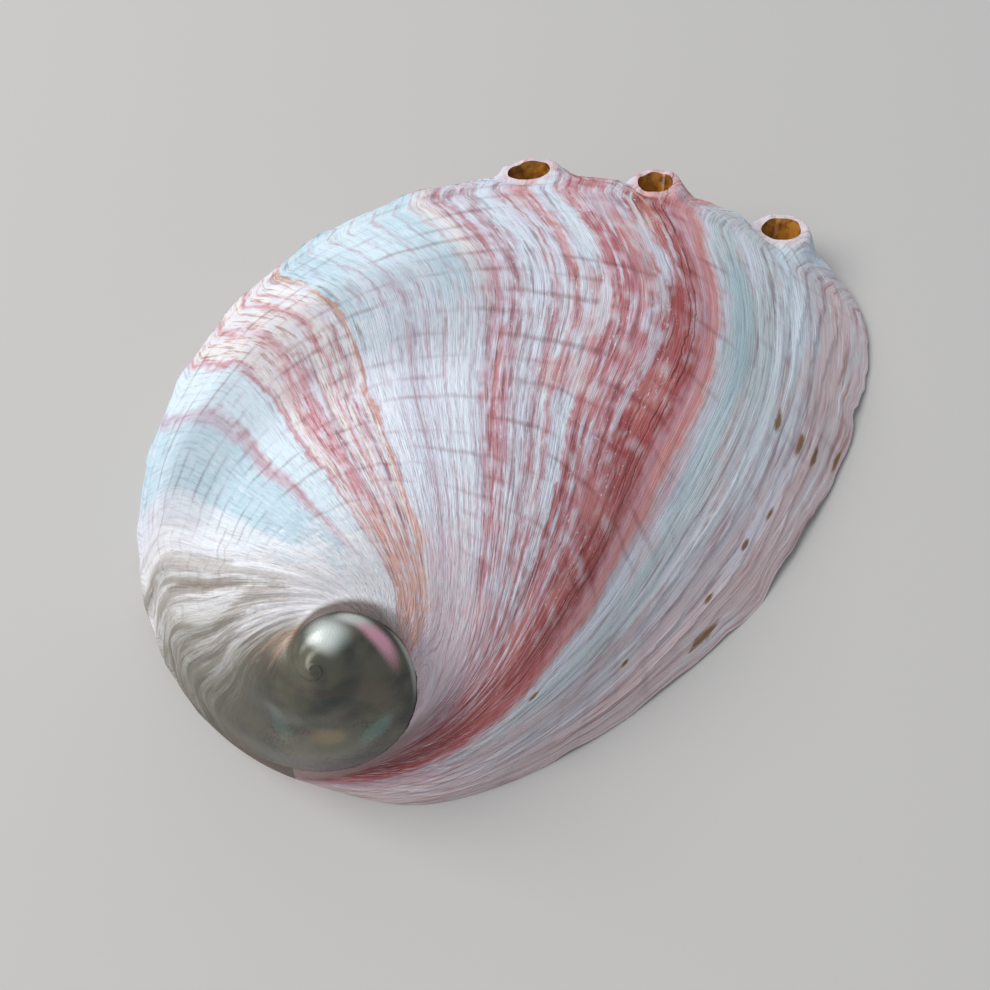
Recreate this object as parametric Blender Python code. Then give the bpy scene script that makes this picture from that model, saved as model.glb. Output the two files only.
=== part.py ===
"""Abalone shell lying open side down, 88 mm long.

The shell is one spiral sheet.  Each growth line runs from the suture, where
it meets the whorl before it, out to the shoulder that carries the row of
holes.  Going back in time a growth line shrinks and turns about the coil
axis, so every older line is a smaller, turned copy of the same curve, and
the shoulder of one whorl is the suture of the next.  The last line is the
lip, which lies flat on the ground.  Below the shoulder a side wall comes
down to the ground on the left of the animal and thickens to a shelf.

Frame: +X to the growing end, +Y to the row of holes, +Z up.  The origin is
on the ground under the middle of the shell.  Sizes are in millimetres until
the mesh is made.  Time runs in radians of coiling: 0 at the lip, less before.
"""

import math

import bmesh
import bpy
import numpy as np
from mathutils import Vector

NODE = "shell"
MM = 0.001
MIDDLE = (0.0, 0.555, 0.0)  # middle of the shell's outline, which is put on the origin

# The coil
APEX = (-35.1, -13.7, 22.3)
COIL_TILT = math.radians(36.8)       # lean of the coil axis from straight up
COIL_HEADING = math.radians(-139.9)  # direction that it leans to, from +X
GROWTH_RATE = 0.382                  # growth in size for each radian of coiling
WHORL = 3.641                        # coiling from a shoulder to the suture on it
LIP_SHOULDER = (43.5, -3.2, 2.8)     # where the shoulder meets the lip

# A growth line of full size, from near the suture to near the shoulder
GROWTH_LINE = (
    (-34.1, -16.7, 0.9),
    (-28.3, -22.4, 1.8),
    (-18.3, -28.1, 3.7),
    (-5.4, -30.0, 3.1),
    (9.5, -29.0, -0.3),
    (26.1, -29.6, -2.5),
    (40.4, -21.8, -4.1),
    (46.9, -14.2, -3.1),
)
# The lip on the ground, at about the same places along the line
LIP = (
    (-37.1, -17.9, 0.0),
    (-31.5, -23.5, 0.0),
    (-19.9, -28.0, 0.0),
    (-6.0, -29.8, 0.0),
    (9.2, -29.2, 0.0),
    (23.4, -25.2, 0.0),
    (35.4, -19.3, 0.0),
    (43.2, -11.9, 0.0),
)
LINE_KNOTS = (0.0, 0.09, 0.19, 0.32, 0.45, 0.58, 0.71, 0.83, 0.92, 1.0)
LIP_ROOT = 1 / 9    # part of the lip that comes down the end of the side wall
LIP_BLEND = 0.8     # coiling over which the growth lines settle onto the ground

# Side wall under the shoulder, as parts of the shoulder's height
WALL_LEAN = 0.28
WALL_TURN_IN = 0.16

# Thickness
THICKNESS = 1.7
LIP_THICKNESS = 1.2
LIP_TAPER = 0.35        # coiling over which the lip gets its full thickness
SHELF_MIN = 1.2         # width of the shelf under the side wall
SHELF_PER_HEIGHT = 0.3
SHELF_MAX = 4.6
EDGE_HEIGHT = 2.5       # below this the thickness is measured level
INSIDE_SOFTENING = 6    # rounds of smoothing that round off the inside

# Relief of the outside, for a shell of full size
GROOVE_AT = 0.85        # place of the long shallow groove along a growth line
GROOVE_WIDTH = 0.045
GROOVE_DEPTH = 0.35
FOLD_DEPTH = 0.16       # folds along the growth lines
FOLD_STEP = 0.21
RELIEF_START = 0.3      # coiling from the smooth lip to the full relief

# Row of holes
FIRST_HOLE = 0.081      # coiling from the lip back to the newest hole
HOLE_STEP = 0.265
OPEN_HOLES = 3
CLOSED_HOLES = 10
HOLE_RADIUS = 1.75
HOLE_DEPTH = 4.5
CRATER_RADIUS = 3.4
CRATER_TOP_RADIUS = 2.4
CRATER_HEIGHT = 0.7
CRATER_SINK = 1.2
HOLE_TILT = math.radians(30)    # lean of a hole outwards from straight up
KNOB_HEIGHT = 0.8       # closed holes stand as low knobs
KNOB_RADIUS = 2.4
HOLE_SIDES = 16

# Fineness of the outside, and the inside's share of it
COLUMNS = 72
WALL_ROWS = 4
ROWS = 36
SPIRE_ROWS = 12
WHORLS = 2
INSIDE_SHARE = 2

COLOUR = (0.66, 0.55, 0.54, 1.0)
ROUGHNESS = 0.38


def coil_axis():
    """Direction of the coil axis."""
    flat = math.sin(COIL_TILT)
    x = flat * math.cos(COIL_HEADING)
    y = flat * math.sin(COIL_HEADING)
    return np.array((x, y, math.cos(COIL_TILT)))


def grown(points, coiling):
    """Points of full size, carried back in time about the apex."""
    axis = coil_axis()
    arm = np.asarray(points, float) - APEX
    along = (arm @ axis)[..., None] * axis
    across = arm - along
    side = np.cross(axis, across)
    turned = along + across * math.cos(coiling) - side * math.sin(coiling)
    return APEX + math.exp(GROWTH_RATE * coiling) * turned


def smooth_curve(knots, values, places):
    """Natural cubic spline through the values at the knots."""
    knots = np.asarray(knots, float)
    values = np.asarray(values, float)
    count = len(knots)
    gap = np.diff(knots)
    slope = np.diff(values, axis=0) / gap[:, None]
    system = np.eye(count)
    right = np.zeros_like(values)
    for i in range(1, count - 1):
        system[i, i - 1:i + 2] = (gap[i - 1], 2 * (gap[i - 1] + gap[i]), gap[i])
        right[i] = 6 * (slope[i] - slope[i - 1])
    bend = np.linalg.solve(system, right)
    places = np.asarray(places, float)
    span = np.clip(np.searchsorted(knots, places) - 1, 0, count - 2)
    width = gap[span][:, None]
    low = (knots[span + 1] - places)[:, None] / width
    high = 1 - low
    chord = low * values[span] + high * values[span + 1]
    bow = (low ** 3 - low) * bend[span] + (high ** 3 - high) * bend[span + 1]
    return chord + bow * width ** 2 / 6


def smooth_step(value):
    """Soft change from 0 to 1."""
    value = min(1.0, max(0.0, value))
    return value * value * (3 - 2 * value)


def shoulder(coiling):
    """Point of the shoulder at one moment of growth."""
    return grown(LIP_SHOULDER, coiling)


def outward(coiling):
    """Level direction that points away from the shell at the shoulder."""
    ahead = shoulder(coiling + 0.01) - shoulder(coiling - 0.01)
    side = np.array((-ahead[1], ahead[0], 0.0))
    return side / np.linalg.norm(side)


def wall_point(coiling, share):
    """Point of the side wall: share 0 is the shoulder, 1 is the ground."""
    top = shoulder(coiling)
    reach = top[2] * (WALL_LEAN * share - WALL_TURN_IN * share ** 2)
    point = top + outward(coiling) * reach
    point[2] = top[2] * (1 - share)
    return point


def lip_line(places):
    """The lip: down the end of the side wall, then along the ground."""
    root = wall_point(-WHORL, 1.0)
    knots = LIP_ROOT + (1 - LIP_ROOT) * np.linspace(0, 1, len(LIP) + 2)
    line = smooth_curve(knots, (root, *LIP, LIP_SHOULDER), places)
    for i, place in enumerate(places):
        if place < LIP_ROOT:
            line[i] = wall_point(-WHORL, place / LIP_ROOT)
    line[:, 2] = np.maximum(line[:, 2], 0)
    return line


def growth_line(coiling, places):
    """Points along one growth line, from the suture to the shoulder."""
    suture = shoulder(-WHORL)
    line = smooth_curve(LINE_KNOTS, (suture, *GROWTH_LINE, LIP_SHOULDER), places)
    share = smooth_step(1 + coiling / LIP_BLEND)
    if share > 0:
        line += (lip_line(places) - line) * share
    return grown(line, coiling)


def hole_times():
    """Coiling at each hole of the row, newest first."""
    return [-FIRST_HOLE - HOLE_STEP * i for i in range(OPEN_HOLES + CLOSED_HOLES)]


def relief(point, coiling, place):
    """Height of the outside above the plain sheet."""
    size = math.exp(GROWTH_RATE * coiling)
    height = 0.0
    if place < 1:
        groove = math.exp(-((place - GROOVE_AT) / GROOVE_WIDTH) ** 2)
        fold = math.sin(2 * math.pi * coiling / FOLD_STEP) * math.sin(math.pi * place)
        height = FOLD_DEPTH * fold - GROOVE_DEPTH * groove
        height *= size * smooth_step(-coiling / RELIEF_START)
    for time in hole_times()[OPEN_HOLES:]:
        scale = math.exp(GROWTH_RATE * time)
        gap = np.linalg.norm(point - shoulder(time)) / (KNOB_RADIUS * scale)
        height += KNOB_HEIGHT * scale * math.exp(-gap ** 2)
    return height


def thickness(coiling, place):
    """Thickness of the sheet, which is a shelf at the foot of the side wall."""
    lip_share = smooth_step(-coiling / LIP_TAPER)
    plain = LIP_THICKNESS + (THICKNESS - LIP_THICKNESS) * lip_share
    if place <= 1:
        return plain
    height = shoulder(coiling)[2]
    shelf = min(SHELF_MAX, SHELF_MIN + SHELF_PER_HEIGHT * height)
    return plain + (shelf - plain) * (place - 1) ** 2


class Sheet:
    """Points of the spiral sheet with their time and place, and its triangles."""

    def __init__(self, share):
        self.columns = COLUMNS // share
        self.wall_rows = WALL_ROWS // share
        self.rows = ROWS // share
        self.spire_rows = SPIRE_ROWS // share
        self.points = []
        self.marks = []
        self.triangles = []
        self.edge = []
        self.make()

    def add(self, point, coiling, place):
        self.points.append(np.array(point, float))
        self.marks.append((coiling, place))
        return len(self.points) - 1

    def times(self, whorl):
        """Moments of growth in one whorl, evenly spaced along the shoulder."""
        newest = math.exp(-GROWTH_RATE * WHORL * whorl)
        oldest = math.exp(-GROWTH_RATE * WHORL * (whorl + 1))
        return np.log(np.linspace(newest, oldest, self.columns + 1)) / GROWTH_RATE

    def make(self):
        body = self.body_whorl()
        wall = self.side_wall(body)
        newer = body
        for whorl in range(1, WHORLS):
            newer = self.spire_whorl(whorl, newer)
        self.nucleus(newer)
        foot = [column[-1] for column in wall]
        self.edge = body[0][self.wall_rows:] + wall[0][1:] + foot[1:-1]

    def body_whorl(self):
        """The last whorl.  Its oldest line ends where the lip starts."""
        places = np.linspace(0, 1, self.rows + 1)
        grid = []
        for coiling in self.times(0):
            line = growth_line(coiling, places)
            grid.append([self.add(*item) for item in zip(line, [coiling] * len(places), places)])
        self.points.pop()
        self.marks.pop()
        grid[-1][-1] = grid[0][0]
        self.join(grid)
        return grid

    def side_wall(self, body):
        """Wall from the shoulder to the ground, which ends on the lip's root."""
        wall = []
        for column, coiling in zip(body[:-1], self.times(0)):
            points = [column[-1]]
            for step in range(1, self.wall_rows + 1):
                share = step / self.wall_rows
                points.append(self.add(wall_point(coiling, share), coiling, 1 + share))
            wall.append(points)
        wall.append(body[0][:self.wall_rows + 1])
        self.join(wall)
        return wall

    def spire_whorl(self, whorl, newer):
        """An older whorl, whose shoulder is the suture of the newer one."""
        places = np.linspace(0, 1, self.spire_rows + 1)
        grid = [newer[-1]]
        for i, coiling in enumerate(self.times(whorl)):
            if i == 0:
                continue
            line = growth_line(coiling, places)
            column = [self.add(*item) for item in zip(line[:-1], [coiling] * len(line), places)]
            column.append(newer[i][0])
            grid.append(column)
        self.join(grid)
        return grid

    def nucleus(self, oldest):
        """Fan that closes the middle of the spire."""
        loop = [column[0] for column in oldest] + oldest[-1][1:-1]
        middle = np.mean([self.points[i] for i in loop], axis=0)
        tip = self.add(middle, -WHORL * WHORLS, 0.0)
        for here, after in zip(loop, loop[1:] + loop[:1]):
            self.triangles.append((here, after, tip))

    def join(self, grid):
        for left, right in zip(grid, grid[1:]):
            self.triangles += bridge(left, right)


def bridge(fine, coarse):
    """Triangles between two rows of points, the first as fine or finer."""
    ratio = (len(fine) - 1) // (len(coarse) - 1)
    middle = ratio // 2
    triangles = []
    for k in range(len(coarse) - 1):
        for m in range(ratio):
            tip = coarse[k] if m < middle or ratio == 1 else coarse[k + 1]
            triangles.append((fine[k * ratio + m], fine[k * ratio + m + 1], tip))
        hinge = fine[k * ratio + (middle if ratio > 1 else 1)]
        triangles.append((hinge, coarse[k + 1], coarse[k]))
    return triangles


def point_normals(points, triangles):
    """Outward direction at every point, weighted by area."""
    points = np.array(points)
    corners = points[np.array(triangles)]
    cross = np.cross(corners[:, 1] - corners[:, 0], corners[:, 2] - corners[:, 0])
    normals = np.zeros_like(points)
    for k in range(3):
        np.add.at(normals, np.array(triangles)[:, k], cross)
    normals /= np.linalg.norm(normals, axis=1)[:, None]
    if normals[:, 2].mean() < 0:
        normals = -normals
    return normals


def outside(sheet):
    """The sheet with its relief."""
    normals = point_normals(sheet.points, sheet.triangles)
    edge = set(sheet.edge)
    points = []
    for i, (point, normal, mark) in enumerate(zip(sheet.points, normals, sheet.marks)):
        if i not in edge:
            point = point + normal * relief(point, *mark)
            point[2] = max(point[2], 0.1)
        points.append(point)
    return points


def softened(sheet):
    """The sheet's points, each drawn towards its neighbours, with the edge held."""
    links = np.array(sheet.triangles)
    links = np.concatenate((links[:, :2], links[:, 1:], links[:, ::2]))
    links = np.unique(np.sort(links, axis=1), axis=0)
    points = np.array(sheet.points)
    held = points[sheet.edge]
    for _ in range(INSIDE_SOFTENING):
        total = np.zeros_like(points)
        count = np.zeros((len(points), 1))
        for here, there in (links.T, links.T[::-1]):
            np.add.at(total, here, points[there])
            np.add.at(count, here, 1)
        points = (points + total / count) / 2
        points[sheet.edge] = held
    return points


def inside(sheet):
    """The softened sheet moved inwards by the thickness, level near the ground."""
    sheet_points = softened(sheet)
    normals = point_normals(sheet_points, sheet.triangles)
    points = []
    for point, normal, mark in zip(sheet_points, normals, sheet.marks):
        level = normal * (1, 1, 0)
        level /= np.linalg.norm(level) + 1e-9
        share = math.exp(-(point[2] / EDGE_HEIGHT) ** 2)
        way = normal * (1 - share) + level * share
        old = smooth_step(-mark[0] / WHORL - 1)
        way = way * (1 - old) + np.array((0, 0, old))
        moved = point - way / np.linalg.norm(way) * thickness(*mark)
        moved[2] = max(moved[2], 0.35 * point[2])
        points.append(moved)
    return points


def loop_bridge(fine, coarse):
    """Triangles between two closed loops that start at the same place."""
    return bridge(fine + fine[:1], coarse + coarse[:1])


def mesh_object(name, points, triangles):
    """Closed mesh with its faces pointing out."""
    mesh = bpy.data.meshes.new(name)
    mesh.from_pydata([tuple((point - MIDDLE) * MM) for point in points], [], triangles)
    work = bmesh.new()
    work.from_mesh(mesh)
    bmesh.ops.recalc_face_normals(work, faces=work.faces)
    if work.calc_volume(signed=True) < 0:
        bmesh.ops.reverse_faces(work, faces=work.faces)
    work.to_mesh(mesh)
    work.free()
    item = bpy.data.objects.new(name, mesh)
    bpy.context.scene.collection.objects.link(item)
    return item


def shell_body():
    """The closed shell before its holes are cut."""
    fine = Sheet(1)
    coarse = Sheet(INSIDE_SHARE)
    outer = outside(fine)
    inner = inside(coarse)
    shift = len(outer)
    triangles = list(fine.triangles)
    triangles += [tuple(i + shift for i in face) for face in coarse.triangles]
    triangles += loop_bridge(fine.edge, [i + shift for i in coarse.edge])
    return mesh_object(NODE, outer + inner, triangles)


def hole_axis(coiling):
    """Direction out of a hole, leaning away from the shell."""
    lean = outward(coiling)
    return Vector(lean * math.sin(HOLE_TILT)) + Vector((0, 0, math.cos(HOLE_TILT)))


def turned_solids(name, low, high, low_radius, high_radius):
    """One turned solid at each open hole, as a helper object."""
    work = bmesh.new()
    for coiling in hole_times()[:OPEN_HOLES]:
        size = math.exp(GROWTH_RATE * coiling)
        axis = hole_axis(coiling)
        middle = Vector(shoulder(coiling) - MIDDLE) + axis * (low + high) / 2 * size
        turn = axis.to_track_quat("Z", "Y").to_matrix().to_4x4()
        turn.translation = middle * MM
        bmesh.ops.create_cone(
            work, cap_ends=True, segments=HOLE_SIDES, matrix=turn,
            radius1=low_radius * size * MM, radius2=high_radius * size * MM,
            depth=(high - low) * size * MM)
    mesh = bpy.data.meshes.new(name)
    work.to_mesh(mesh)
    work.free()
    item = bpy.data.objects.new(name, mesh)
    bpy.context.scene.collection.objects.link(item)
    item.hide_render = True
    item.display_type = "WIRE"
    return item


def combine(item, other, operation):
    step = item.modifiers.new(operation.lower(), "BOOLEAN")
    step.object = other
    step.operation = operation
    step.solver = "EXACT"


def material():
    finish = bpy.data.materials.new("shell")
    finish.use_nodes = True
    surface = finish.node_tree.nodes["Principled BSDF"]
    surface.inputs["Base Color"].default_value = COLOUR
    surface.inputs["Roughness"].default_value = ROUGHNESS
    return finish


def main():
    for item in list(bpy.data.objects):
        bpy.data.objects.remove(item, do_unlink=True)
    shell = shell_body()
    craters = turned_solids(
        "craters", -CRATER_SINK, CRATER_HEIGHT, CRATER_RADIUS, CRATER_TOP_RADIUS)
    drills = turned_solids(
        "drills", -HOLE_DEPTH, CRATER_HEIGHT * 2, HOLE_RADIUS, HOLE_RADIUS)
    combine(shell, craters, "UNION")
    combine(shell, drills, "DIFFERENCE")
    shell.data.materials.append(material())
    shell.data.shade_smooth()
    shell.data.set_sharp_from_angle(angle=math.radians(40))


main()
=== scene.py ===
"""Abalone shell: the finished look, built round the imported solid.

The shell is one spiral sheet.  A growth line runs from the suture (place 0)
to the shoulder with its row of holes (place 1), and on down the side wall to
the ground (place 2).  Coiling is the time of growth in radians: 0 at the lip,
less before.  Older lines are smaller, turned copies of the newest one.  The
bands of colour, the cords and the fine ridges all follow place and coiling,
which the mesh carries as UV maps.  Sizes are in millimetres until the mesh
is made.
"""

import functools
import math

import bpy
import numpy as np
from mathutils import Matrix, Vector


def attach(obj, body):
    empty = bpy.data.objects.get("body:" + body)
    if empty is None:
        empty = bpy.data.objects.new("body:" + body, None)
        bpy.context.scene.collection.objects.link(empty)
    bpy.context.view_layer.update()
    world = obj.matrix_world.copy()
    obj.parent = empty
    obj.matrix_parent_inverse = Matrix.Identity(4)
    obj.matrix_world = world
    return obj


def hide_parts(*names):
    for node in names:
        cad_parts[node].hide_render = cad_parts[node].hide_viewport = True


bl_info = {
    "name": "Abalone shell",
    "version": (1, 0, 0),
    "blender": (4, 5, 0),
    "location": "3D View > Sidebar > Shell",
    "description": "Builds a banded abalone shell with a row of holes and a worn spire",
    "category": "Add Mesh",
}

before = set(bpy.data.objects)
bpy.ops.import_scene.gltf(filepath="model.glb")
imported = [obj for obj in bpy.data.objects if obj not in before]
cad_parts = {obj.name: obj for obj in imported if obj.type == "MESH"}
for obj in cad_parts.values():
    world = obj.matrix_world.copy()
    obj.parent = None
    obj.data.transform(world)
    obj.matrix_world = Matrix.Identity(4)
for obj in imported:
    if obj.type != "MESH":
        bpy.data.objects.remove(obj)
NODE = "shell"
MM = 0.001
MIDDLE = (0.0, 0.555, 0.0)  # middle of the shell's outline, which is put on the origin

# The coil, as in the solid
APEX = (-35.1, -13.7, 22.3)
COIL_TILT = math.radians(36.8)
COIL_HEADING = math.radians(-139.9)
GROWTH_RATE = 0.382
WHORL = 3.641
LIP_SHOULDER = (43.5, -3.2, 2.8)
GROWTH_LINE = (
    (-34.1, -16.7, 0.9),
    (-28.3, -22.4, 1.8),
    (-18.3, -28.1, 3.7),
    (-5.4, -30.0, 3.1),
    (9.5, -29.0, -0.3),
    (26.1, -29.6, -2.5),
    (40.4, -21.8, -4.1),
    (46.9, -14.2, -3.1),
)
LIP = (
    (-37.1, -17.9, 0.0),
    (-31.5, -23.5, 0.0),
    (-19.9, -28.0, 0.0),
    (-6.0, -29.8, 0.0),
    (9.2, -29.2, 0.0),
    (23.4, -25.2, 0.0),
    (35.4, -19.3, 0.0),
    (43.2, -11.9, 0.0),
)
LINE_KNOTS = (0.0, 0.09, 0.19, 0.32, 0.45, 0.58, 0.71, 0.83, 0.92, 1.0)
LIP_ROOT = 1 / 9
LIP_BLEND = 0.8
WALL_LEAN = 0.28
WALL_TURN_IN = 0.16
WALL_SHARE = 0.2    # height of the side wall for the width of the sheet
PEARLY_FROM = 1.5   # place from which the flat edge is pearly, like the inside

# Thickness, as in the solid
THICKNESS = 1.7
LIP_THICKNESS = 1.2
LIP_TAPER = 0.35
SHELF_MIN = 1.2
SHELF_PER_HEIGHT = 0.3
SHELF_MAX = 4.6
EDGE_HEIGHT = 2.5
CORNER_THINNING = 0.65  # where the side wall ends at the lip
OLD_START = -2.9    # coiling from which the inside of the spire is straight below the outside
OLD_BLEND = 1.2
LEAST_HEIGHT = 0.1  # of the outside above the ground, away from the edge
INSIDE_LEVEL = 0.35  # lowest height of the inside, for the height of the outside

# Row of holes, as in the solid
FIRST_HOLE = 0.081
HOLE_STEP = 0.265
OPEN_HOLES = 3
CLOSED_HOLES = 9
HOLE_LENGTHS = (1.30, 1.25, 1.65)   # length of each open hole along the shoulder, for its width
RIM_TILT = math.radians(6)
RIM_FIRMNESS = 0.96   # how closely a rim keeps to its own level
RIM_GRAIN = 1.1       # size of the bumps of a rim
RIM_COLOUR_FADE = 0.7
PIT_RADIUS = 1.6
PIT_SLOPE = 0.9
HOLE_REACH = 9        # how far the relief of a hole goes
HOLE_TILT = math.radians(30)

# Fineness of the outside, and the inside's share of it
COLUMNS = 420
WALL_ROWS = 16
ROWS = 144
SPIRE_ROWS = 24
WHORLS = 3
INSIDE_SHARE = 4
INSIDE_SPIRE_ROWS = 12
INSIDE_WHORLS = 2
INSIDE_SOFTENING = 40
NOISE_CELLS = 64
DRILL_SIDES = 48
SHARP_ANGLE = math.radians(55)


def linear(code):
    """Colour from a six-letter code, as the light it stands for."""
    parts = [int(code[i:i + 2], 16) / 255 for i in (0, 2, 4)]
    return tuple(v / 12.92 if v <= 0.04045 else ((v + 0.055) / 1.055) ** 2.4 for v in parts)


def smooth(value):
    """Soft change from 0 to 1."""
    value = np.clip(value, 0, 1)
    return value * value * (3 - 2 * value)


def soft_noise(x, y, seed):
    """Smooth bumps from -1 to 1, one to each unit of x and of y."""
    table = np.random.default_rng(seed).uniform(-1, 1, (NOISE_CELLS, NOISE_CELLS))
    column = np.floor(x).astype(int)
    row = np.floor(y).astype(int)
    across = smooth(x - column)
    up = smooth(y - row)

    def corner(i, j):
        return table[(column + i) % NOISE_CELLS, (row + j) % NOISE_CELLS]

    low = corner(0, 0) * (1 - across) + corner(1, 0) * across
    high = corner(0, 1) * (1 - across) + corner(1, 1) * across
    return low * (1 - up) + high * up


# ---------------------------------------------------------------- the sheet

def coil_axis():
    """Direction of the coil axis."""
    flat = math.sin(COIL_TILT)
    x = flat * math.cos(COIL_HEADING)
    y = flat * math.sin(COIL_HEADING)
    return np.array((x, y, math.cos(COIL_TILT)))


def grown(points, coiling):
    """Points of full size, carried back in time about the apex."""
    coiling = np.asarray(coiling, float)[..., None]
    axis = coil_axis()
    arm = np.asarray(points, float) - APEX
    along = (arm @ axis)[..., None] * axis
    across = arm - along
    side = np.cross(axis, across)
    turned = along + across * np.cos(coiling) - side * np.sin(coiling)
    return APEX + np.exp(GROWTH_RATE * coiling) * turned


def smooth_curve(knots, values, places):
    """Natural cubic spline through the values at the knots."""
    knots = np.asarray(knots, float)
    values = np.asarray(values, float)
    count = len(knots)
    gap = np.diff(knots)
    slope = np.diff(values, axis=0) / gap[:, None]
    system = np.eye(count)
    right = np.zeros_like(values)
    for i in range(1, count - 1):
        system[i, i - 1:i + 2] = (gap[i - 1], 2 * (gap[i - 1] + gap[i]), gap[i])
        right[i] = 6 * (slope[i] - slope[i - 1])
    bend = np.linalg.solve(system, right)
    span = np.clip(np.searchsorted(knots, places) - 1, 0, count - 2)
    width = gap[span][:, None]
    low = (knots[span + 1] - places)[:, None] / width
    high = 1 - low
    chord = low * values[span] + high * values[span + 1]
    bow = (low ** 3 - low) * bend[span] + (high ** 3 - high) * bend[span + 1]
    return chord + bow * width ** 2 / 6


def shoulder(coiling):
    """Points of the shoulder at moments of growth."""
    return grown(LIP_SHOULDER, coiling)


def outward(coiling):
    """Level direction that points away from the shell at the shoulder."""
    coiling = np.asarray(coiling, float)
    ahead = shoulder(coiling + 0.01) - shoulder(coiling - 0.01)
    side = np.stack((-ahead[..., 1], ahead[..., 0], np.zeros_like(ahead[..., 0])), -1)
    return side / np.linalg.norm(side, axis=-1, keepdims=True)


def wall_point(coiling, share):
    """Points of the side wall: share 0 is the shoulder, 1 is the ground."""
    share = np.asarray(share, float)
    top = shoulder(coiling)
    reach = top[..., 2] * (WALL_LEAN * share - WALL_TURN_IN * share ** 2)
    point = top + outward(coiling) * reach[..., None]
    point[..., 2] = top[..., 2] * (1 - share)
    return point


def lip_line(places):
    """The lip: down the end of the side wall, then along the ground."""
    root = wall_point(-WHORL, 1.0)
    knots = LIP_ROOT + (1 - LIP_ROOT) * np.linspace(0, 1, len(LIP) + 2)
    line = smooth_curve(knots, (root, *LIP, LIP_SHOULDER), places)
    down = wall_point(np.full_like(places, -WHORL), np.minimum(places / LIP_ROOT, 1))
    line = np.where((places < LIP_ROOT)[:, None], down, line)
    line[:, 2] = np.maximum(line[:, 2], 0)
    return line


def sheet_point(coiling, place):
    """Points of the sheet between the suture and the shoulder."""
    flat = place.ravel()
    suture = shoulder(-WHORL)
    line = smooth_curve(LINE_KNOTS, (suture, *GROWTH_LINE, LIP_SHOULDER), flat)
    share = smooth(1 + coiling.ravel() / LIP_BLEND)[:, None]
    line += (lip_line(flat) - line) * share
    return grown(line, coiling.ravel()).reshape(*place.shape, 3)


def hole_times():
    """Coiling at each hole of the row, newest first."""
    return [-FIRST_HOLE - HOLE_STEP * i for i in range(OPEN_HOLES + CLOSED_HOLES)]


def hole_axis(coiling):
    """Direction out of a hole, leaning away from the shell."""
    return outward(coiling) * math.sin(HOLE_TILT) + np.array((0, 0, math.cos(HOLE_TILT)))


def hole_frame(coiling):
    """Directions at a hole: along the shoulder, across it and out of the hole."""
    out = hole_axis(coiling)
    ahead = shoulder(coiling + 0.01) - shoulder(coiling - 0.01)
    ahead = ahead - (ahead @ out) * out
    ahead /= np.linalg.norm(ahead)
    return ahead, np.cross(out, ahead), out


def thickness(coiling, place):
    """Thickness of the sheet, which is a shelf at the foot of the side wall."""
    plain = LIP_THICKNESS + (THICKNESS - LIP_THICKNESS) * smooth(-coiling / LIP_TAPER)
    shelf = np.minimum(SHELF_MAX, SHELF_MIN + SHELF_PER_HEIGHT * shoulder(coiling)[:, 2])
    foot = np.clip(place - 1, 0, 1) ** 2 * smooth(-coiling / LIP_TAPER)
    corner = np.exp(-(coiling / 0.06) ** 2) * smooth((place - 0.9) / 0.1)
    return (plain + (shelf - plain) * foot) * (1 - CORNER_THINNING * corner)


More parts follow.
